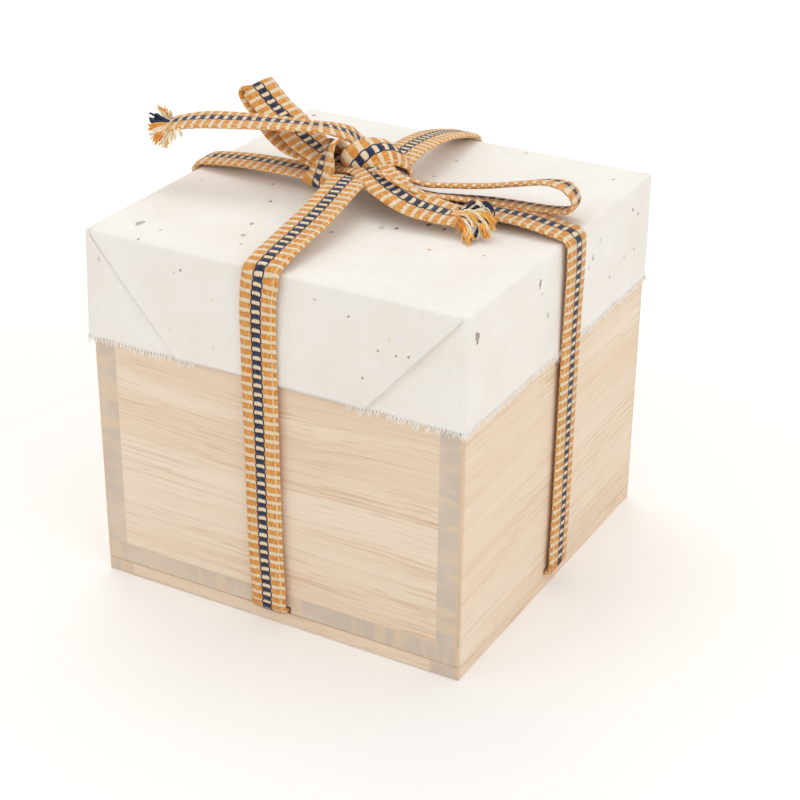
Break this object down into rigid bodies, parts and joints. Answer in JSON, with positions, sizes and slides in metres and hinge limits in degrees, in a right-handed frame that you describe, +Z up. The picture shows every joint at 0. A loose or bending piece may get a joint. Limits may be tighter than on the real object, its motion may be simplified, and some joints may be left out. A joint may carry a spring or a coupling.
{
  "type": "tea caddy",
  "caption": "Lidded tea caddy stored in a square light-wood box with a paper cover over the lid and a flat woven cord tied in a bow on top.",
  "frame": {"origin": "centre of the underside of the feet, on the surface the box stands on", "axes": "+X to the right of the front face, +Y to the back, +Z up"},
  "size_m": [0.126, 0.118, 0.1303],
  "materials": {
    "kiri_wood": "bare planed paulownia, matt, fine pinkish-brown grain",
    "kiri_end_grain": "bare paulownia, greyish end grain at its front and back edges",
    "peg_wood": "bare hardwood pegs",
    "washi_paper": "soft handmade paper with a few dark specks, torn lower edges",
    "cord": "flat woven cotton cord, mustard and cream cross ribs, navy ladder along the middle",
    "cord_threads": "loose cotton threads of the cord's cut ends",
    "lacquer": "black lacquer on turned wood, glossy"
  },
  "bodies": {
    "box": {"wall_front": "kiri_wood", "wall_back": "kiri_wood", "wall_left": "kiri_wood", "wall_right": "kiri_wood", "base_board": "kiri_end_grain", "foot_front": "kiri_wood", "foot_back": "kiri_wood", "foot_left": "kiri_wood", "foot_right": "kiri_wood", "base_pegs": "peg_wood", "cord_under_x": "cord", "cord_under_y": "cord"},
    "caddy": {"caddy_body": "lacquer"},
    "caddy_lid": {"caddy_lid": "lacquer"},
    "lid": {"lid_board": "kiri_wood", "lid_batten_front": "kiri_wood", "lid_batten_back": "kiri_wood", "lid_batten_left": "kiri_wood", "lid_batten_right": "kiri_wood", "lid_pegs": "peg_wood"},
    "cover": {"paper_cover": "washi_paper"},
    "tie": {"cord_front": "cord", "cord_back": "cord", "cord_left": "cord", "cord_right": "cord", "knot_band": "cord", "knot_core": "cord", "bow_cord_left": "cord", "bow_cord_right": "cord", "frayed_end_front": "cord_threads", "frayed_end_left": "cord_threads"}
  },
  "joints": [
    {"name": "caddy_lift", "type": "slide", "parent": "box", "child": "caddy", "axis": [0, 0, 1], "range_m": [0, 0.11]},
    {"name": "caddy_lid_lift", "type": "slide", "parent": "caddy", "child": "caddy_lid", "axis": [0, 0, 1], "range_m": [0, 0.05]},
    {"name": "lid_lift", "type": "slide", "parent": "caddy_lid", "child": "lid", "axis": [0, 0, 1], "range_m": [0, 0.09]},
    {"name": "cover_lift", "type": "slide", "parent": "lid", "child": "cover", "axis": [0, 0, 1], "range_m": [0, 0.05]},
    {"name": "tie_lift", "type": "slide", "parent": "cover", "child": "tie", "axis": [0, 0, 1], "range_m": [0, 0.12]}
  ]
}
